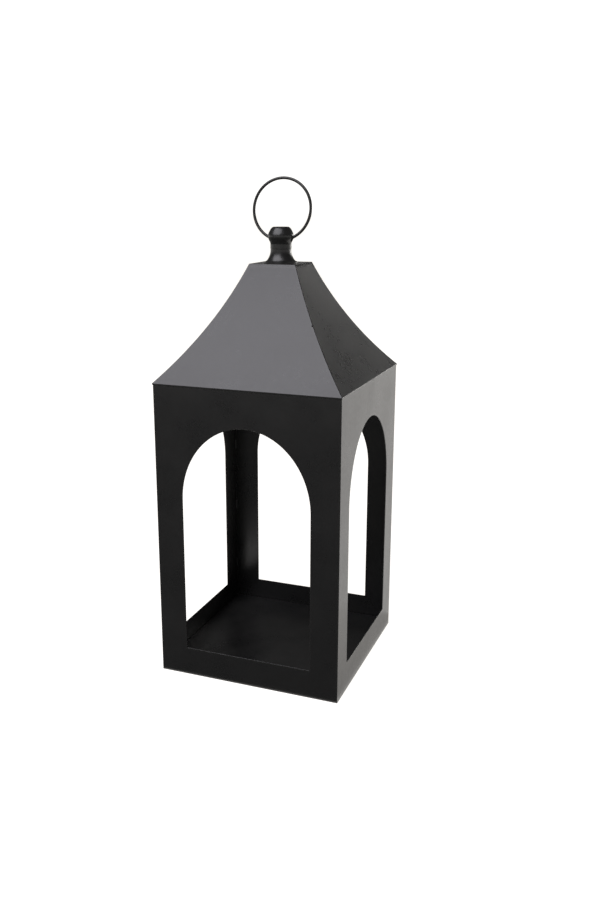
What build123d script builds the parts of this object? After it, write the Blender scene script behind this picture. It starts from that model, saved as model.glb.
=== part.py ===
from build123d import *
import os
from math import atan2, cos, degrees, radians, sin, sqrt

os.makedirs("parts", exist_ok=True)

# Square sheet-metal lantern with four arched openings, a concave hipped roof and a
# turned finial that carries a wire ring. Lengths are in millimetres. The origin is the
# centre of the base on the ground, +Z is up and the front looks along -Y.

# Body
body_width = 201.8  # over the outer faces of the panels
body_height = 318.2  # ground to the panels' top edges
sheet = 0.8  # thickness of the panels, the floor and the roof slopes
corner_radius = 0.7  # outside of the vertical corners
stile_width = 30.4  # upright band on each side of an arch
sill_height = 31.0  # band below an arch
springline = 199.0  # where an arch's straight sides end
arch_rise = 81.0  # height of the half ellipse above the springline

# Floor
floor_top = 7.0
floor_lip_bottom = 2.0
floor_bend = 1.4  # outer radius of the bend into a lip
floor_notch = 1.6  # lips stop this far from the corners

# Roof
roof_radius = 397.3  # of the concave slopes, to their outer face
eave_reach = 102.6  # centre to the eave's sharp corner, before its bend is rounded
eave_bend = 1.0  # outer radius of the bend from slope to flange
hip_radius = 0.5  # outside of the hips
flange_width = 9.0  # flange that lies on the panels' top edges, measured from the panels
roof_top = 436.0
cap_width = 50.8  # across the cap's upper face
cap_sheet = 1.2

# Finial
foot_radius = 17.5
foot_rim = 1.0  # height of the foot's plain rim
rim_ease = 0.3  # height of the bevel above the rim
flare_radius = 13.3  # halfway up the flare
flare_height = 4.4  # of that point above the cap
neck_radius = 10.8
collar_radius = 11.0
collar_bottom = 450.2
collar_top = 455.4
collar_chamfer = 0.35
head_bottom_radius = 10.9
head_low_radius = 12.6  # halfway between the collar and the widest height
head_low_height = 459.5
head_radius = 13.4  # at its widest
head_wide_height = 463.0
head_high_radius = 11.9  # halfway between the widest height and the top
head_high_height = 468.0
head_flat_radius = 8.0
head_top = 472.5
spigot_radius = 4.5
spigot_play = 0.1  # radial, inside the foot and the collar
spigot_gap = 0.3  # between the spigot's end and the cap

# Ring
ring_radius = 31.3  # to the wire's centre
wire_diameter = 3.0
pivot_height = 460.5  # centre of the cross hole
cross_hole_radius = 3.4
pivot_to_ring_centre = 29.8
ring_lean = 6.7  # degrees from upright, top towards the back

# Screw and washers
screw_diameter = 6.0
screw_length = 16.0
screw_head_radius = 6.0
screw_head_height = 3.6
screw_head_fillet = 1.6
screw_tip_chamfer = 0.6
recess_width = 1.4
recess_length = 6.4
recess_depth = 2.0
washer_thickness = 1.6
washer_radius = 6.0
spring_washer_radius = 5.6
spring_washer_slit = 1.2
hole_play = 0.3  # radial, round the screw in the cap and the washers
thread_play = 0.05  # radial, between the screw and the tapped hole
tapped_depth = 14.0

# Weld beads
bead_radius = 1.5
tack_length = 10.0
corner_tacks = 4
tack_pitch = 120.0  # between the two tacks along one side
cap_tack_length = 12.0
hip_tacks = 4
proud_bead_radius = 1.2
proud_bead_height = 379.5  # the one bead that stands proud of a hip, at the front right

sides = {"front": 0, "right": 90, "back": 180, "left": 270}
half_width = body_width / 2
inner_width = body_width - 2 * sheet
arch_width = body_width - 2 * stile_width
cap_bottom = roof_top - cap_sheet
cut_size = 3 * body_width  # longer than anything that it cuts
tolerance = 0.001


def save(builder, name):
    """Label a finished piece and write its STEP file."""
    builder.part.label = name
    export_step(builder.part, f"parts/{name}.step")


def outward(turn):
    """Unit vector that points out of the side at this turn from the front."""
    return Vector(0, -1, 0).rotate(Axis.Z, turn)


def keep_side(turn):
    """Mitre the open part: keep what lies between the two diagonals of one side."""
    for diagonal in (45, 135):
        normal = Vector(1, 0, 0).rotate(Axis.Z, turn + diagonal)
        split(bisect_by=Plane(origin=(0, 0, 0), z_dir=normal), keep=Keep.BOTTOM)


# ---- Body panels: one square tube with rounded corners, mitred into its four sides

for side, turn in sides.items():
    face = Plane(
        origin=outward(turn) * half_width,
        x_dir=Vector(1, 0, 0).rotate(Axis.Z, turn),
        z_dir=outward(turn),
    )
    with BuildPart() as panel:
        with BuildSketch():
            RectangleRounded(body_width, body_width, corner_radius)
            Rectangle(inner_width, inner_width, mode=Mode.SUBTRACT)
        extrude(amount=body_height)
        with BuildSketch(face):
            with Locations((0, sill_height)):
                Rectangle(arch_width, springline - sill_height, align=(Align.CENTER, Align.MIN))
            with Locations((0, springline)):
                Ellipse(arch_width / 2, arch_rise)
        extrude(amount=-2 * sheet, mode=Mode.SUBTRACT)
        keep_side(turn)
    save(panel, f"{side}_panel")


# ---- Floor: two channels that cross, which leaves the corners open between the lips

with BuildPart() as floor_tray:
    for turn in (0, 90):
        with BuildSketch(Plane.XZ.rotated((0, 0, turn))):
            with BuildLine() as channel:
                Polyline(
                    (-inner_width / 2, floor_lip_bottom),
                    (-inner_width / 2, floor_top),
                    (inner_width / 2, floor_top),
                    (inner_width / 2, floor_lip_bottom),
                )
                fillet(channel.vertices().group_by(Axis.Y)[-1], radius=floor_bend)
                offset(amount=sheet, side=Side.RIGHT)
            make_face()
        extrude(amount=inner_width / 2 - floor_notch, both=True)
save(floor_tray, "floor_tray")


# ---- Roof: a hollow block of concave slopes, mitred at its hips into four sheets

chord = Vector(cap_width / 2 - eave_reach, roof_top - body_height)
arc_height = sqrt(roof_radius**2 - (chord.length / 2) ** 2)
arc_centre = (
    Vector(eave_reach, body_height) + chord / 2 + Vector(chord.Y, -chord.X).normalized() * arc_height
)


def slope_reach(height, inset=0.0):
    """Distance from the centre to a slope, or to a surface that lies inset behind it."""
    return arc_centre.X - sqrt((roof_radius + inset) ** 2 - (arc_centre.Y - height) ** 2)


def roof_block(bottom, top, inset, bend):
    """Solid of the roof's shape, square in plan, with its eaves rounded by bend."""
    heights = (bottom, (bottom + top) / 2, top)
    right = [(slope_reach(height, inset), height) for height in heights]
    left = [(-reach, height) for reach, height in right]
    with BuildPart() as block:
        for turn, mode in ((0, Mode.ADD), (90, Mode.INTERSECT)):
            with BuildSketch(Plane.XZ.rotated((0, 0, turn))) as profile:
                with BuildLine():
                    ThreePointArc(*right)
                    Line(right[-1], left[-1])
                    ThreePointArc(*left)
                    Line(left[0], right[0])
                make_face()
                if bend:
                    fillet(profile.vertices().group_by(Axis.Y)[0], radius=bend)
            extrude(amount=cut_size, both=True, mode=mode)
    return block.part


roof_envelope = roof_block(body_height, cap_bottom, 0.0, eave_bend)
roof_hollow = roof_block(body_height + sheet, cap_bottom, sheet, 0.0)
flange_opening = inner_width - 2 * flange_width

with BuildPart() as roof_skin:
    add(roof_envelope)
    add(roof_hollow, mode=Mode.SUBTRACT)
    with BuildSketch(Plane.XY.offset(body_height)):
        Rectangle(flange_opening, flange_opening)
    extrude(amount=sheet, mode=Mode.SUBTRACT)
    middles = [(edge, edge @ 0.5) for edge in roof_skin.edges() if edge.length > body_width / 2]
    hips = [
        edge
        for edge, middle in middles
        if abs(abs(middle.X) - abs(middle.Y)) < tolerance
        and abs(abs(middle.X) - slope_reach(middle.Z)) < tolerance
    ]
    fillet(hips, radius=hip_radius)

for side, turn in sides.items():
    with BuildPart() as roof_slope:
        add(roof_skin.part)
        keep_side(turn)
    save(roof_slope, f"roof_{side}")

with BuildPart() as roof_cap:
    with BuildSketch(Plane.XY.offset(cap_bottom)):
        Rectangle(2 * slope_reach(cap_bottom), 2 * slope_reach(cap_bottom))
    cap_draft = degrees(atan2(slope_reach(cap_bottom) - cap_width / 2, cap_sheet))
    extrude(amount=cap_sheet, taper=cap_draft)
    with Locations((0, 0, roof_top)):
        Hole(screw_diameter / 2 + hole_play)
save(roof_cap, "roof_cap")


# ---- Finial: foot and collar are threaded on the head's spigot, clamped by the screw

bore_radius = spigot_radius + spigot_play

with BuildPart() as finial_foot:
    with BuildSketch(Plane.XZ):
        with BuildLine():
            flare_start = (foot_radius - 2 * rim_ease, roof_top + foot_rim + rim_ease)
            Polyline(
                (neck_radius, collar_bottom),
                (bore_radius, collar_bottom),
                (bore_radius, roof_top),
                (foot_radius, roof_top),
                (foot_radius, roof_top + foot_rim),
                flare_start,
            )
            Spline(
                flare_start,
                (flare_radius, roof_top + flare_height),
                (neck_radius, collar_bottom),
                tangents=((-1, 0.25), (0, 1)),
            )
        make_face()
    revolve(axis=Axis.Z)
save(finial_foot, "finial_foot")

with BuildPart() as finial_collar:
    with BuildSketch(Plane.XY.offset(collar_bottom)):
        Circle(collar_radius)
        Circle(bore_radius, mode=Mode.SUBTRACT)
    extrude(amount=collar_top - collar_bottom)
    rims = finial_collar.edges().filter_by(GeomType.CIRCLE).group_by(SortBy.RADIUS)[-1]
    chamfer(rims, length=collar_chamfer)
save(finial_collar, "finial_collar")

with BuildPart() as finial_head:
    spigot_bottom = roof_top + spigot_gap
    with BuildSketch(Plane.XZ):
        with BuildLine():
            Polyline(
                (0, head_top),
                (0, spigot_bottom),
                (spigot_radius, spigot_bottom),
                (spigot_radius, collar_top),
                (head_bottom_radius, collar_top),
            )
            Spline(
                (head_bottom_radius, collar_top),
                (head_low_radius, head_low_height),
                (head_radius, head_wide_height),
                tangents=((0.2, 1), (0, 1)),
            )
            Spline(
                (head_radius, head_wide_height),
                (head_high_radius, head_high_height),
                (head_flat_radius, head_top),
                tangents=((0, 1), (-1, 0.45)),
            )
            Line((head_flat_radius, head_top), (0, head_top))
        make_face()
    revolve(axis=Axis.Z)
    with Locations((0, 0, spigot_bottom + tapped_depth / 2)):
        Cylinder(screw_diameter / 2 + thread_play, tapped_depth, mode=Mode.SUBTRACT)
    with Locations(Location((0, 0, pivot_height), (0, 90, 0))):
        Cylinder(cross_hole_radius, 3 * head_radius, mode=Mode.SUBTRACT)
save(finial_head, "finial_head")

with BuildPart() as hanging_ring:
    ring_centre = (
        0,
        pivot_to_ring_centre * sin(radians(ring_lean)),
        pivot_height + pivot_to_ring_centre * cos(radians(ring_lean)),
    )
    with Locations(Location(ring_centre, (90 - ring_lean, 0, 0))):
        Torus(ring_radius, wire_diameter / 2)
save(hanging_ring, "hanging_ring")


# ---- Screw and washers, stacked down from the underside of the cap

flat_washer_bottom = cap_bottom - washer_thickness
spring_washer_bottom = flat_washer_bottom - washer_thickness
screw_head_bottom = spring_washer_bottom - screw_head_height

with BuildPart() as finial_flat_washer:
    with BuildSketch(Plane.XY.offset(flat_washer_bottom)):
        Circle(washer_radius)
        Circle(screw_diameter / 2 + hole_play, mode=Mode.SUBTRACT)
    extrude(amount=washer_thickness)
save(finial_flat_washer, "finial_flat_washer")

with BuildPart() as finial_spring_washer:
    with BuildSketch(Plane.XY.offset(spring_washer_bottom)):
        Circle(spring_washer_radius)
        Circle(screw_diameter / 2 + hole_play, mode=Mode.SUBTRACT)
        with Locations((spring_washer_radius, 0)):
            Rectangle(spring_washer_radius, spring_washer_slit, mode=Mode.SUBTRACT)
    extrude(amount=washer_thickness)
save(finial_spring_washer, "finial_spring_washer")

with BuildPart() as finial_screw:
    with BuildSketch(Plane.XY.offset(screw_head_bottom)):
        Circle(screw_head_radius)
    extrude(amount=screw_head_height)
    fillet(finial_screw.edges().group_by(Axis.Z)[0], radius=screw_head_fillet)
    with BuildSketch(Plane.XY.offset(spring_washer_bottom)):
        Circle(screw_diameter / 2)
    extrude(amount=screw_length)
    chamfer(finial_screw.edges().group_by(Axis.Z)[-1], length=screw_tip_chamfer)
    with BuildSketch(Plane.XY.offset(screw_head_bottom)):
        Rectangle(recess_length, recess_width)
        Rectangle(recess_width, recess_length)
    extrude(amount=recess_depth, mode=Mode.SUBTRACT)
save(finial_screw, "finial_screw")


# ---- Weld beads: round bars, cut back to the inside of the corner that they fill


def side_tacks(reach, height, length, pitch):
    """Add round bars along the four walls, at a reach from the centre."""
    for turn in sides.values():
        spots = [outward(turn) * reach + outward(turn + 90) * (pitch * k) for k in (-0.5, 0.5)]
        along = Plane(origin=(0, 0, 0), z_dir=outward(turn + 90)).location.orientation
        for spot in spots:
            with Locations(Location(spot + Vector(0, 0, height), along)):
                Cylinder(bead_radius, length)


def keep_inside_body(bottom, top):
    """Keep what lies inside the panels between two heights."""
    with Locations((0, 0, (bottom + top) / 2)):
        Box(inner_width, inner_width, top - bottom, mode=Mode.INTERSECT)


with BuildPart() as corner_welds:
    tack_step = (body_height - floor_top) / corner_tacks
    for k in range(corner_tacks):
        with BuildSketch(Plane.XY.offset(floor_top + (k + 0.5) * tack_step)):
            with GridLocations(inner_width, inner_width, 2, 2):
                Circle(bead_radius)
            Rectangle(inner_width, inner_width, mode=Mode.INTERSECT)
        extrude(amount=tack_length)
save(corner_welds, "corner_welds")

with BuildPart() as floor_welds:
    side_tacks(inner_width / 2, floor_lip_bottom, tack_length, tack_pitch)
    keep_inside_body(floor_lip_bottom - 2 * bead_radius, floor_lip_bottom)
save(floor_welds, "floor_welds")

with BuildPart() as eave_welds:
    side_tacks(inner_width / 2, body_height, tack_length, tack_pitch)
    keep_inside_body(body_height - 2 * bead_radius, body_height)
save(eave_welds, "eave_welds")

with BuildPart() as cap_welds:
    side_tacks(slope_reach(cap_bottom, sheet), cap_bottom, cap_tack_length, 2 * cap_tack_length)
    add(roof_hollow, mode=Mode.INTERSECT)
save(cap_welds, "cap_welds")

with BuildPart() as proud_bead:
    reach = slope_reach(proud_bead_height)
    with Locations((reach, -reach, proud_bead_height)):
        Sphere(proud_bead_radius)
    add(roof_envelope, mode=Mode.SUBTRACT)

with BuildPart() as hip_welds:
    for k in range(hip_tacks):
        height = body_height + (k + 0.5) * (cap_bottom - body_height) / hip_tacks
        reach = slope_reach(height, sheet)
        with GridLocations(2 * reach, 2 * reach, 2, 2):
            with Locations((0, 0, height)):
                Sphere(bead_radius)
    add(roof_hollow, mode=Mode.INTERSECT)
    add(proud_bead.part)
save(hip_welds, "hip_welds")
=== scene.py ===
from math import atan2, cos, pi, radians, sin, sqrt

import bmesh
import bpy
from mathutils import Matrix, Vector


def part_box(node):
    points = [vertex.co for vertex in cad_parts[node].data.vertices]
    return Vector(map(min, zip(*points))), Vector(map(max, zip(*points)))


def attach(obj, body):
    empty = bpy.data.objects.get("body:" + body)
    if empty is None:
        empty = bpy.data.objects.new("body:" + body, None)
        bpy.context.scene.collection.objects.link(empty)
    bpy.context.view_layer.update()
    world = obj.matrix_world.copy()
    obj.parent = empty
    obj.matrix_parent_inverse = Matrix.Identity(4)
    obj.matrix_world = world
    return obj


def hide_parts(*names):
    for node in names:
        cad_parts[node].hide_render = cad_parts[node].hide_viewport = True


# The looks of a black sheet-metal lantern: four arched panels, a concave hipped roof with a
# flat cap, a turned finial and a wire ring. Lengths are in millimetres until make_piece turns
# them into metres. +Z is up and the front looks along -Y.

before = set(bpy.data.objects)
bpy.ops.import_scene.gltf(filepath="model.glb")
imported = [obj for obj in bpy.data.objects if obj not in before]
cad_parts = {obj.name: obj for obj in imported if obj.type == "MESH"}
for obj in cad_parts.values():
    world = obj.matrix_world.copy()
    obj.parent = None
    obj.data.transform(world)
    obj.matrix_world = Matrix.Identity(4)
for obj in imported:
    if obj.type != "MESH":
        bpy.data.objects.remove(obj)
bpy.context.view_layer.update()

MM = 0.001

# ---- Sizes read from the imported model


def extent(node):
    """Lowest and highest corner of a CAD node, in millimetres."""
    low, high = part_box(node)
    return low / MM, high / MM


front_low, front_high = extent("front_panel")
slope_low = extent("roof_front")[0]
cap_low, cap_high = extent("roof_cap")

half_width = front_high.x
body_height = front_high.z
sheet = front_high.y - front_low.y
inner_half = half_width - sheet
roof_top = cap_high.z
cap_bottom = cap_low.z
eave_half = -slope_low.y

# ---- Sizes of the sheet metal

corner_radius = 0.7  # outside of the body's vertical corners
edge_radius = 0.25  # rounding of a cut and coated edge
edge_margin = 1.3  # band beside an edge where the coat changes
edge_steps = 3  # faces in a quarter round, and in the outer half of a corner

stile_width = 30.4
sill_height = 31.0
sill_corner = 0.6  # inside corners of an opening
springline = 199.0
arch_rise = 81.0
arch_half = half_width - stile_width
corner_steps = 4
side_steps = 6
arch_steps = 40  # in half an arch
top_corner_step = 22  # the arch step that faces the panel's top corner
low_spread = 0.15  # step along the outline below an opening's corner, as a share of a half side
side_spread = 0.04  # the same step beside the corner

roof_radius = 397.3
eave_reach = 102.6
eave_ease = 0.3  # rounding above and below the eave's narrow upright face
eave_steps = 5
hip_radius = 0.5
flange_width = 9.0
slope_steps = 40
slope_columns = 8
cap_half = 25.4
cap_gap = 0.1  # the cap's edges stand this far outside or inside the slopes' tops
cap_ease = 0.3  # rounding round the cap's upper face
screw_hole_radius = 3.3

sides = {"front": 0, "right": 90, "back": 180, "left": 270}


# ---- Making meshes


def link_rows(rows, wrap_rows, wrap_points):
    """Vertices and quads of rows of points that are joined one to the next."""
    count = len(rows[0])
    points = [point for row in rows for point in row]
    row_links = len(rows) if wrap_rows else len(rows) - 1
    point_links = count if wrap_points else count - 1
    faces = []
    for i in range(row_links):
        here = i * count
        there = (i + 1) % len(rows) * count
        for j in range(point_links):
            k = (j + 1) % count
            faces.append((here + j, here + k, there + k, there + j))
    return points, faces


def make_piece(name, points, faces, material, replaced, edge=None, body="lantern"):
    """A visible piece from points in millimetres, which stands for some CAD nodes."""
    mesh = bpy.data.meshes.new(name)
    mesh.from_pydata([Vector(point) * MM for point in points], [], faces)
    coat = mesh.attributes.new("edge_coat", "FLOAT", "POINT")
    coat.data.foreach_set("value", edge or [0.0] * len(points))
    shaped = bmesh.new()
    shaped.from_mesh(mesh)
    bmesh.ops.recalc_face_normals(shaped, faces=shaped.faces)
    for face in shaped.faces:
        face.smooth = True
    shaped.to_mesh(mesh)
    shaped.free()
    mesh.set_sharp_from_angle(angle=radians(40))
    mesh.materials.append(material)
    piece = bpy.data.objects.new(name, mesh)
    bpy.context.scene.collection.objects.link(piece)
    weighted = piece.modifiers.new("flat_faces_stay_flat", "WEIGHTED_NORMAL")
    weighted.keep_sharp = True
    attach(piece, body)
    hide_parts(*replaced)
    return piece


def quarter(step):
    """Inset and depth, as shares of a radius, on a quarter round that starts on a face."""
    angle = pi / 2 * step / edge_steps
    return 1 - sin(angle), 1 - cos(angle)


def half_corner(step):
    """Inset and depth, as shares of a radius, on a corner's round as far as its mitre."""
    angle = pi / 4 * step / edge_steps
    return 1 - sin(angle), 1 - cos(angle)


def place(turn, across, reach, height):
    """A point from its place on one side: across, out from the centre, and up."""
    angle = radians(turn)
    x = across * cos(angle) + reach * sin(angle)
    y = across * sin(angle) - reach * cos(angle)
    return Vector((x, y, height))


# ---- Materials


class Nodes:
    """A short way to write a material's node tree."""

    def __init__(self, name):
        self.material = bpy.data.materials.new(name)
        self.material.use_nodes = True
        self.tree = self.material.node_tree
        self.tree.nodes.clear()
        self.output = self.tree.nodes.new("ShaderNodeOutputMaterial")
        self.place = self.tree.nodes.new("ShaderNodeTexCoord").outputs["Object"]

    def add(self, kind, inputs=None, **settings):
        node = self.tree.nodes.new(kind)
        for key, value in settings.items():
            setattr(node, key, value)
        for key, value in (inputs or {}).items():
            if isinstance(value, bpy.types.NodeSocket):
                self.tree.links.new(value, node.inputs[key])
            else:
                node.inputs[key].default_value = value
        return node

    def noise(self, scale, detail=2.0, roughness=0.5, vector=None):
        """Noise with this many features to the metre, from 0 to 1."""
        inputs = {"Vector": vector or self.place, "Scale": scale, "Detail": detail, "Roughness": roughness}
        return self.add("ShaderNodeTexNoise", inputs).outputs["Fac"]

    def stretched(self, scale):
        """The place, scaled differently along each axis."""
        return self.add("ShaderNodeMapping", {"Vector": self.place, "Scale": scale}).outputs["Vector"]

    def remap(self, value, low, high, to_low, to_high):
        inputs = {"Value": value, "From Min": low, "From Max": high, "To Min": to_low, "To Max": to_high}
        return self.add("ShaderNodeMapRange", inputs).outputs["Result"]

    def math(self, operation, first, second):
        node = self.add("ShaderNodeMath", {0: first, 1: second}, operation=operation)
        return node.outputs["Value"]

    def mix(self, factor, first, second):
        """A colour between two others."""
        node = self.add("ShaderNodeMix", data_type="RGBA")
        for socket, value in ((node.inputs[0], factor), (node.inputs[6], first), (node.inputs[7], second)):
            if isinstance(value, bpy.types.NodeSocket):
                self.tree.links.new(value, socket)
            else:
                socket.default_value = value
        return node.outputs[2]

    def bump(self, height, distance, normal=None):
        inputs = {"Height": height, "Distance": distance, "Strength": 1.0}
        if normal:
            inputs["Normal"] = normal
        return self.add("ShaderNodeBump", inputs).outputs["Normal"]

    def surface(self, colour, roughness, normal, **fixed):
        """The shader. What is the same all over is set on its own sockets."""
        inputs = {"Base Color": colour, "Roughness": roughness, "Normal": normal}
        inputs.update({key.replace("_", " "): value for key, value in fixed.items()})
        shader = self.add("ShaderNodeBsdfPrincipled", inputs)
        self.tree.links.new(shader.outputs["BSDF"], self.output.inputs["Surface"])
        return self.material


def grey(value, warmth=0.0):
    return (value * (1 + warmth), value, value * (1 - warmth), 1.0)


def powder_coat(name, base, roughness, peel=1.0, wave=1.0, lathe=False):
    """Satin black powder coat: orange peel, fine grain, faint cloudiness, dust and thin edges."""
    nodes = Nodes(name)
    clouds = nodes.noise(22.0, 4.0, 0.6)
    specks = nodes.noise(2600.0, 1.0)
    dust_patches = nodes.noise(60.0, 5.0, 0.65)
    edge = nodes.add("ShaderNodeAttribute", attribute_name="edge_coat").outputs["Fac"]
    facing = nodes.add("ShaderNodeNewGeometry").outputs["Normal"]
    upward = nodes.add("ShaderNodeSeparateXYZ", {"Vector": facing}).outputs["Z"]

    colour = nodes.mix(nodes.remap(clouds, 0.35, 0.65, 0.0, 1.0), grey(base * 0.85), grey(base * 1.2, 0.02))
    colour = nodes.mix(nodes.remap(specks, 0.62, 0.75, 0.0, 0.35), colour, grey(base * 2.6))
    lying = nodes.remap(upward, 0.9, 1.0, 0.0, 1.0)
    dust = nodes.math("MULTIPLY", lying, nodes.remap(dust_patches, 0.4, 0.8, 0.0, 0.09))
    colour = nodes.mix(dust, colour, grey(0.09, 0.06))
    colour = nodes.mix(nodes.math("MULTIPLY", edge, 0.5), colour, grey(base * 2.2, 0.03))

    gloss = nodes.remap(clouds, 0.3, 0.7, roughness - 0.03, roughness + 0.03)
    gloss = nodes.math("ADD", gloss, nodes.remap(nodes.noise(260.0, 3.0), 0.3, 0.7, -0.02, 0.02))
    gloss = nodes.math("SUBTRACT", gloss, nodes.math("MULTIPLY", edge, 0.06))
    gloss = nodes.math("ADD", gloss, nodes.math("MULTIPLY", dust, 0.4))

    normal = nodes.bump(nodes.noise(7.0, 1.0), 0.0007 * wave)
    if lathe:
        rings = nodes.noise(1.0, 2.0, 0.6, nodes.stretched((2.0, 2.0, 2400.0)))
        normal = nodes.bump(rings, 0.000012, normal)
    normal = nodes.bump(nodes.noise(420.0, 1.0), 0.000018 * peel, normal)
    normal = nodes.bump(nodes.noise(1100.0, 0.0), 0.000002 * peel, normal)
    return nodes.surface(colour, gloss, normal, IOR=1.52)


def zinc_plate(name):
    """Bright zinc plate on small hardware: a little cloudy, with fine drawn and turned marks."""
    nodes = Nodes(name)
    clouds = nodes.noise(420.0, 4.0, 0.6)
    marks = nodes.noise(1.0, 2.0, 0.5, nodes.stretched((300.0, 300.0, 5200.0)))
    stains = nodes.noise(900.0, 5.0, 0.7)
    colour = nodes.mix(nodes.remap(clouds, 0.3, 0.7, 0.0, 1.0), grey(0.5, -0.02), grey(0.66, 0.01))
    colour = nodes.mix(nodes.remap(stains, 0.58, 0.8, 0.0, 0.5), colour, grey(0.3, 0.08))
    gloss = nodes.remap(clouds, 0.3, 0.7, 0.26, 0.36)
    gloss = nodes.math("ADD", gloss, nodes.remap(marks, 0.3, 0.7, -0.05, 0.07))
    normal = nodes.bump(marks, 0.00001)
    normal = nodes.bump(nodes.noise(2400.0, 2.0), 0.000008, normal)
    return nodes.surface(colour, gloss, normal, Metallic=1.0)


sheet_coat = powder_coat("black_sheet_coat", 0.009, 0.3)
weld_coat = powder_coat("black_weld_coat", 0.009, 0.42, peel=1.6, wave=0.0)
finial_coat = powder_coat("black_finial_coat", 0.008, 0.32, peel=0.8, wave=0.0, lathe=True)
ring_coat = powder_coat("black_ring_coat", 0.008, 0.34, peel=0.7, wave=0.0)
zinc = zinc_plate("zinc_plate")


# ---- Body panels


def mirrored(right_half):
    """A closed ring of points from its right half, which starts and ends on the middle line."""
    return right_half + [(-across, *rest) for across, *rest in right_half[-2:0:-1]]


def arch_ring(offset, depth):
    """Points round an arched opening that is grown by offset: across, height, depth."""
    radius = sill_corner + offset
    half = [(0.0, sill_height - offset, depth)]
    for k in range(corner_steps + 1):
        angle = pi / 2 * (k / corner_steps - 1)
        across = arch_half - sill_corner + radius * cos(angle)
        half.append((across, sill_height + sill_corner + radius * sin(angle), depth))
    straight = springline - sill_height - sill_corner
    for k in range(1, side_steps):
        half.append((arch_half + offset, sill_height + sill_corner + straight * k / side_steps, depth))
    for k in range(arch_steps + 1):
        angle = pi / 2 * k / arch_steps
        out = Vector((cos(angle) / arch_half, sin(angle) / arch_rise)).normalized() * offset
        half.append((arch_half * cos(angle) + out.x, springline + arch_rise * sin(angle) + out.y, depth))
    half[-1] = (0.0, *half[-1][1:])
    return mirrored(half)


def outline_ring(side_inset, side_depth, end_inset, end_depth):
    """Points on a panel's outline that face the points of arch_ring one by one."""
    shares = [0.0]
    shares += [1.0 + low_spread * (k - corner_steps / 2) for k in range(corner_steps // 2 + 1)]
    shares += [1.0 + side_spread * k for k in range(1, corner_steps // 2 + 1)]
    start, spring = shares[-1], 1.0 + springline / body_height
    shares += [start + (spring - start) * k / side_steps for k in range(1, side_steps)]
    shares += [spring + (2.0 - spring) * k / top_corner_step for k in range(top_corner_step)]
    top_steps = arch_steps - top_corner_step
    shares += [2.0 + k / top_steps for k in range(top_steps + 1)]
    across, low, high = half_width - side_inset, end_inset, body_height - end_inset
    half = []
    for share in shares:
        if share < 1.0:
            half.append((across * share, low, end_depth))
        elif share <= 2.0:
            half.append((across, low + (high - low) * (share - 1.0), side_depth))
        else:
            half.append((across * (3.0 - share), high, end_depth))
    return mirrored(half)


def make_panel(side, turn):
    """A sheet panel with a rounded arch edge, and corners rounded as far as their mitres."""
    mitre_start = corner_radius * half_corner(edge_steps)[0]
    opening_front, opening_back, outside_front, outside_back = [], [], [], []
    for k in range(edge_steps + 1):
        inset, depth = (edge_radius * share for share in quarter(k))
        side_inset, side_depth = (corner_radius * share for share in half_corner(k))
        along_mitre = sheet + (mitre_start - sheet) * k / (edge_steps + 1)
        opening_front.append(arch_ring(inset, depth))
        opening_back.append(arch_ring(inset, sheet - depth))
        outside_front.append(outline_ring(side_inset, side_depth, inset, depth))
        outside_back.append(outline_ring(along_mitre, along_mitre, inset, sheet - depth))
    margin = edge_radius + edge_margin
    rows = [arch_ring(margin, sheet), *opening_back, *reversed(opening_front), arch_ring(margin, 0.0)]
    rows += [outline_ring(corner_radius + edge_margin, 0.0, margin, 0.0), *outside_front]
    rows += [*reversed(outside_back), outline_ring(sheet + edge_margin, sheet, margin, sheet)]
    flat_rows = {0, 2 * edge_steps + 3, 2 * edge_steps + 4, len(rows) - 1}
    coat = [0.0 if i in flat_rows else 1.0 for i, row in enumerate(rows) for _ in row]
    rows = [[place(turn, u, half_width - depth, z) for u, z, depth in row] for row in rows]
    points, faces = link_rows(rows, wrap_rows=True, wrap_points=True)
    make_piece(f"{side}_arched_panel", points, faces, sheet_coat, [f"{side}_panel"], coat)


for side, turn in sides.items():
    make_panel(side, turn)


# ---- Roof slopes

chord = Vector((cap_half - eave_reach, roof_top - body_height))
arc_height = sqrt(roof_radius**2 - (chord.length / 2) ** 2)
to_centre = Vector((chord.y, -chord.x)).normalized() * arc_height
arc_centre = Vector((eave_reach, body_height)) + chord / 2 + to_centre


def slope_reach(height, inset=0.0):
    """Distance from the centre to a slope, or to a surface that lies inset behind it."""
    return arc_centre.x - sqrt((roof_radius + inset) ** 2 - (arc_centre.y - height) ** 2)


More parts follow.
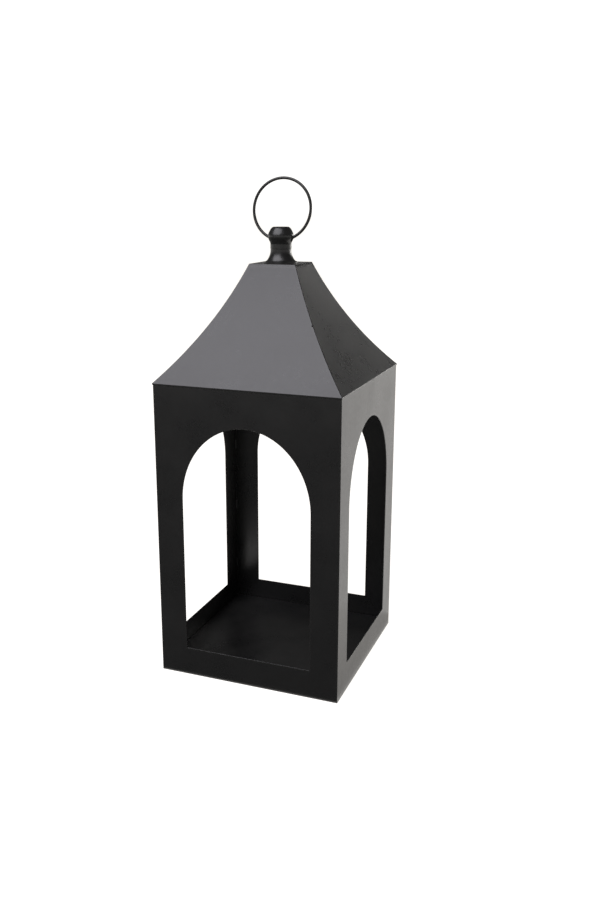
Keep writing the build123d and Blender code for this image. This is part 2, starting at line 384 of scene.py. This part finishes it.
def slope_profile():
    """Closed section of a slope: reach, height, hip radius there, and how far it is an edge."""
    bend_reach = eave_half - eave_ease
    to_slope = arc_centre.x - bend_reach
    bend_height = arc_centre.y - sqrt((roof_radius + eave_ease) ** 2 - to_slope**2)
    start_angle = atan2(arc_centre.y - bend_height, to_slope)
    bend_top = bend_height + eave_ease * sin(start_angle)
    profile = []
    for k in range(slope_steps):
        height = cap_bottom + (bend_top - cap_bottom) * k / slope_steps
        profile.append((slope_reach(height), height, hip_radius, 1.0 if k == 0 else 0.0))
    for centre_height, first, last in (
        (bend_height, start_angle, 0.0),
        (body_height + eave_ease, 0.0, -pi / 2),
    ):
        for k in range(eave_steps + 1):
            angle = first + (last - first) * k / eave_steps
            reach = bend_reach + eave_ease * cos(angle)
            profile.append((reach, centre_height + eave_ease * sin(angle), hip_radius, 0.0))
    rim = inner_half - flange_width
    for k in range(edge_steps + 1):
        inset, depth = (edge_radius * share for share in quarter(k))
        profile.append((rim + inset, body_height + depth, 0.0, 1.0))
    for k in reversed(range(edge_steps + 1)):
        inset, depth = (edge_radius * share for share in quarter(k))
        profile.append((rim + inset, body_height + sheet - depth, 0.0, 1.0))
    for k in range(slope_steps + 1):
        height = body_height + sheet + (cap_bottom - body_height - sheet) * k / slope_steps
        profile.append((slope_reach(height, sheet), height, 0.0, 0.0))
    return profile


def hip_columns():
    """Columns from the left hip to the right: side, step on the hip's round, share across."""
    left = [(-1, k, 1.0) for k in reversed(range(edge_steps + 1))]
    middle = [(0, 0, 2 * k / slope_columns - 1.0) for k in range(slope_columns + 1)]
    right = [(1, k, 1.0) for k in range(edge_steps + 1)]
    return left + middle + right


def make_slope(side, turn):
    """One concave slope with its eave bend and flange, and hips rounded as far as the mitre."""
    profile = slope_profile()
    rows, coat = [], []
    for way, step, share in hip_columns():
        row = []
        for reach, height, radius, edge in profile:
            if way == 0:
                row.append(place(turn, share * (reach - hip_radius - edge_margin), reach, height))
                coat.append(edge)
                continue
            side_share, depth_share = half_corner(step)
            inset = radius * side_share if radius else hip_radius * (1 - step / edge_steps)
            row.append(place(turn, way * (reach - inset), reach - radius * depth_share, height))
            coat.append(1.0)
        rows.append(row)
    points, faces = link_rows(rows, wrap_rows=False, wrap_points=True)
    count = len(profile)
    faces.append(tuple(range(count)))
    faces.append(tuple(range(len(points) - count, len(points))))
    make_piece(f"{side}_roof_slope", points, faces, sheet_coat, [f"roof_{side}"], coat)


for side, turn in sides.items():
    make_slope(side, turn)


# ---- Roof cap


def square_ring(half, radius, height):
    """Points round a square with rounded corners."""
    ring = []
    for turn in sides.values():
        for k in range(-3, 4):
            ring.append(place(turn, (half - radius) * k / 4, half, height))
        for k in range(corner_steps + 1):
            angle = pi / 2 * k / corner_steps
            across = half - radius + radius * sin(angle)
            ring.append(place(turn, across, half - radius + radius * cos(angle), height))
    return ring


def make_cap():
    """The flat plate that closes the roof, with softened edges and the screw's hole."""
    wide = slope_reach(cap_bottom)
    rows = [
        square_ring(wide - 2 * edge_margin, hip_radius, cap_bottom),
        square_ring(wide - cap_gap, hip_radius, cap_bottom),
        square_ring(wide, hip_radius, cap_bottom + cap_gap),
    ]
    for k in range(edge_steps + 1):
        inset, depth = (cap_ease * share for share in quarter(edge_steps - k))
        rows.append(square_ring(cap_half + cap_gap - depth, hip_radius, roof_top - inset))
    rows.append(square_ring(cap_half - edge_margin, hip_radius, roof_top))
    edges = [0.0] + [1.0] * (len(rows) - 2) + [0.0]
    outline = rows[0]
    for height in (roof_top, cap_bottom):
        rows.append([Vector((*(point.xy.normalized() * screw_hole_radius), height)) for point in outline])
        edges.append(0.0)
    coat = [edge for edge, row in zip(edges, rows) for _ in row]
    points, faces = link_rows(rows, wrap_rows=True, wrap_points=True)
    make_piece("flat_roof_cap", points, faces, sheet_coat, ["roof_cap"], coat)


make_cap()


# ---- Materials of the pieces that keep their CAD shape

kept = {
    "floor_tray": sheet_coat,
    "corner_welds": weld_coat,
    "floor_welds": weld_coat,
    "eave_welds": weld_coat,
    "cap_welds": weld_coat,
    "hip_welds": weld_coat,
    "finial_foot": finial_coat,
    "finial_collar": finial_coat,
    "finial_head": finial_coat,
    "finial_screw": zinc,
    "finial_spring_washer": zinc,
    "finial_flat_washer": zinc,
    "hanging_ring": ring_coat,
}
for name, material in kept.items():
    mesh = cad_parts[name].data
    mesh.materials.clear()
    mesh.materials.append(material)


# ---- Floor, light and camera

# Lengths are in metres from here on.

floor_span = 30.0  # half of the floor's width
floor_glow = 1.03  # the floor's own brightness, so that it stays white with only a faint shadow

# Painted shade: a dim grey card on the floor before the front stands in for shade there. Reflections and
# diffuse light see it, the camera doesn't.
painted_shade_card_height = 0.0005
painted_shade_card_far = 4.0  # half of its width, and how far it runs out before the front
painted_shade_card_back = 4.5  # how far its two arms run behind the middle
painted_shade_card_front_edge = -0.1025  # just before the front panel
painted_shade_card_near = 0.2  # half of the edge that lies along the front panel
painted_shade_card_elbow = (0.6, 0.25)

shade_card_height = 0.0006
shade_card_near, shade_card_end = 0.103, 0.22  # from beside the right panel, outwards
shade_card_front, shade_card_back = -0.09, 0.125
shade_start, shade_full = 0.1, 0.22  # where its brightness starts to rise, and ends
shade_low, shade_high = 0.72, 1.25

sky_low, sky_high = 0.03, 0.14  # heights, as a direction's Z, between which the sky fades
sky_horizon, sky_top = 1.1, 0.09
sky_seen = 1.2  # brightness of the sky to the camera alone


def emitter(name, colour, strength):
    """A material that shines evenly."""
    material = bpy.data.materials.new(name)
    material.use_nodes = True
    tree = material.node_tree
    tree.nodes.clear()
    output = tree.nodes.new("ShaderNodeOutputMaterial")
    glow = tree.nodes.new("ShaderNodeEmission")
    glow.inputs["Color"].default_value = colour
    glow.inputs["Strength"].default_value = strength
    tree.links.new(glow.outputs["Emission"], output.inputs["Surface"])
    return material


def stage_sheet(name, corners, material):
    """A flat sheet of the studio, from its corners in metres."""
    mesh = bpy.data.meshes.new(name)
    mesh.from_pydata(corners, [], [tuple(range(len(corners)))])
    mesh.materials.append(material)
    sheet_object = bpy.data.objects.new(name, mesh)
    bpy.context.scene.collection.objects.link(sheet_object)
    return sheet_object


def hide_from(card, rays):
    """Makes a card invisible to these kinds of ray."""
    for ray in rays:
        setattr(card, f"visible_{ray}", False)


def make_floor():
    """A wide pale floor."""
    nodes = Nodes("pale_floor")
    mottle = nodes.noise(3.0, 4.0, 0.6)
    colour = nodes.mix(nodes.remap(mottle, 0.3, 0.7, 0.0, 1.0), grey(0.27, 0.01), grey(0.3, 0.01))
    roughness = nodes.remap(mottle, 0.3, 0.7, 0.75, 0.85)
    normal = nodes.bump(nodes.noise(500.0, 2.0), 0.00005)
    fixed = {"Emission Color": (1.0, 0.975, 0.935, 1.0), "Emission Strength": floor_glow}
    material = nodes.surface(colour, roughness, normal, **fixed)
    span = floor_span
    stage_sheet("floor", [(-span, -span, 0), (span, -span, 0), (span, span, 0), (-span, span, 0)], material)


def make_painted_shade_card():
    """Painted shade on the floor before the front and beside it: a dim grey card that stands in for shade
    there in reflections and diffuse light, and that the camera doesn't see.
    """
    far, back, edge, near = painted_shade_card_far, painted_shade_card_back, painted_shade_card_front_edge, painted_shade_card_near
    across, along = painted_shade_card_elbow
    outline = [(-far, -far), (far, -far), (far, back), (across, along), (near, edge)]
    outline += [(-near, edge), (-across, along), (-far, back)]
    corners = [(x, y, painted_shade_card_height) for x, y in outline]
    # The card's dim grey glow is the painted shade.
    card = stage_sheet("painted_shade_card", corners, emitter("painted_shade_card", (0.1, 0.1, 0.1, 1.0), 1.0))
    hide_from(card, ("camera", "shadow", "transmission", "volume_scatter"))


def make_shade_card():
    """The soft shade on the floor beside the right side, which only reflections see."""
    material = bpy.data.materials.new("shade_card")
    material.use_nodes = True
    tree = material.node_tree
    tree.nodes.clear()
    output = tree.nodes.new("ShaderNodeOutputMaterial")
    glow = tree.nodes.new("ShaderNodeEmission")
    where = tree.nodes.new("ShaderNodeTexCoord")
    parts = tree.nodes.new("ShaderNodeSeparateXYZ")
    shade = tree.nodes.new("ShaderNodeMapRange")
    shade.inputs["From Min"].default_value = shade_start
    shade.inputs["From Max"].default_value = shade_full
    shade.inputs["To Min"].default_value = shade_low
    shade.inputs["To Max"].default_value = shade_high
    glow.inputs["Color"].default_value = (1.0, 0.965, 0.92, 1.0)
    tree.links.new(where.outputs["Object"], parts.inputs["Vector"])
    tree.links.new(parts.outputs["X"], shade.inputs["Value"])
    tree.links.new(shade.outputs["Result"], glow.inputs["Strength"])
    tree.links.new(glow.outputs["Emission"], output.inputs["Surface"])
    near, end, front, back = shade_card_near, shade_card_end, shade_card_front, shade_card_back
    outline = [(near, front), (end, front), (end, back), (near, back)]
    corners = [(x, y, shade_card_height) for x, y in outline]
    card = stage_sheet("shade_card", corners, material)
    hide_from(card, ("camera", "diffuse", "shadow", "transmission", "volume_scatter"))


def area_light(name, place_at, aim, width, height, radiance, colour):
    """A soft box whose face has this radiance."""
    lamp = bpy.data.lights.new(name, "AREA")
    lamp.shape = "RECTANGLE"
    lamp.size = width
    lamp.size_y = height
    lamp.energy = radiance * pi * width * height
    lamp.color = colour
    fitted = bpy.data.objects.new(name, lamp)
    fitted.location = place_at
    fitted.rotation_mode = "QUATERNION"
    fitted.rotation_quaternion = (Vector(aim) - Vector(place_at)).to_track_quat("-Z", "Y")
    fitted.visible_camera = False
    bpy.context.scene.collection.objects.link(fitted)


def make_world():
    """White studio surroundings, brightest at the horizon, that the camera sees as white."""
    world = bpy.data.worlds.new("studio")
    bpy.context.scene.world = world
    world.use_nodes = True
    tree = world.node_tree
    tree.nodes.clear()
    output = tree.nodes.new("ShaderNodeOutputWorld")
    direction = tree.nodes.new("ShaderNodeTexCoord")
    parts = tree.nodes.new("ShaderNodeSeparateXYZ")
    height = tree.nodes.new("ShaderNodeMapRange")
    height.inputs["From Min"].default_value = sky_low
    height.inputs["From Max"].default_value = sky_high
    height.inputs["To Min"].default_value = sky_horizon
    height.inputs["To Max"].default_value = sky_top
    seen = tree.nodes.new("ShaderNodeLightPath")
    both = tree.nodes.new("ShaderNodeMix")
    both.inputs["B"].default_value = sky_seen
    glow = tree.nodes.new("ShaderNodeBackground")
    glow.inputs["Color"].default_value = (1.0, 0.99, 0.97, 1.0)
    tree.links.new(direction.outputs["Generated"], parts.inputs["Vector"])
    tree.links.new(parts.outputs["Z"], height.inputs["Value"])
    tree.links.new(seen.outputs["Is Camera Ray"], both.inputs["Factor"])
    tree.links.new(height.outputs["Result"], both.inputs["A"])
    tree.links.new(both.outputs["Result"], glow.inputs["Strength"])
    tree.links.new(glow.outputs["Background"], output.inputs["Surface"])


def make_camera():
    """The camera, to the right of the front and looking down."""
    heading, tilt, roll = radians(-21.786), radians(14.753), radians(-0.170)
    forward = Vector((sin(heading) * cos(tilt), cos(heading) * cos(tilt), -sin(tilt)))
    right = Vector((cos(heading), -sin(heading), 0.0))
    up = right.cross(forward)
    camera = bpy.data.objects.new("camera", bpy.data.cameras.new("camera"))
    camera.data.sensor_width = 36.0
    camera.data.lens = 37.13
    camera.data.shift_x = 0.0270
    camera.data.shift_y = -0.0072
    camera.data.clip_start = 0.05
    camera.data.clip_end = 50.0
    columns = (cos(roll) * right + sin(roll) * up, cos(roll) * up - sin(roll) * right, -forward)
    turned = Matrix([[column[row] for column in columns] for row in range(3)])
    camera.rotation_mode = "QUATERNION"
    camera.rotation_quaternion = turned.to_quaternion()
    camera.location = (0.3592, -0.9149, 0.5001)
    bpy.context.scene.collection.objects.link(camera)
    bpy.context.scene.camera = camera


make_floor()
make_painted_shade_card()
make_shade_card()
make_world()
area_light("overhead_front", (-0.6, -1.25, 2.2), (0.0, 0.0, 0.35), 2.6, 2.2, 3.9, (0.98, 0.965, 1.03))
area_light("back_right", (1.4, 3.1, 0.64), (0.0, 0.0, 0.3), 1.5, 0.45, 8.5, (1.0, 0.98, 0.95))
make_camera()
bpy.context.scene.view_settings.view_transform = "Standard"
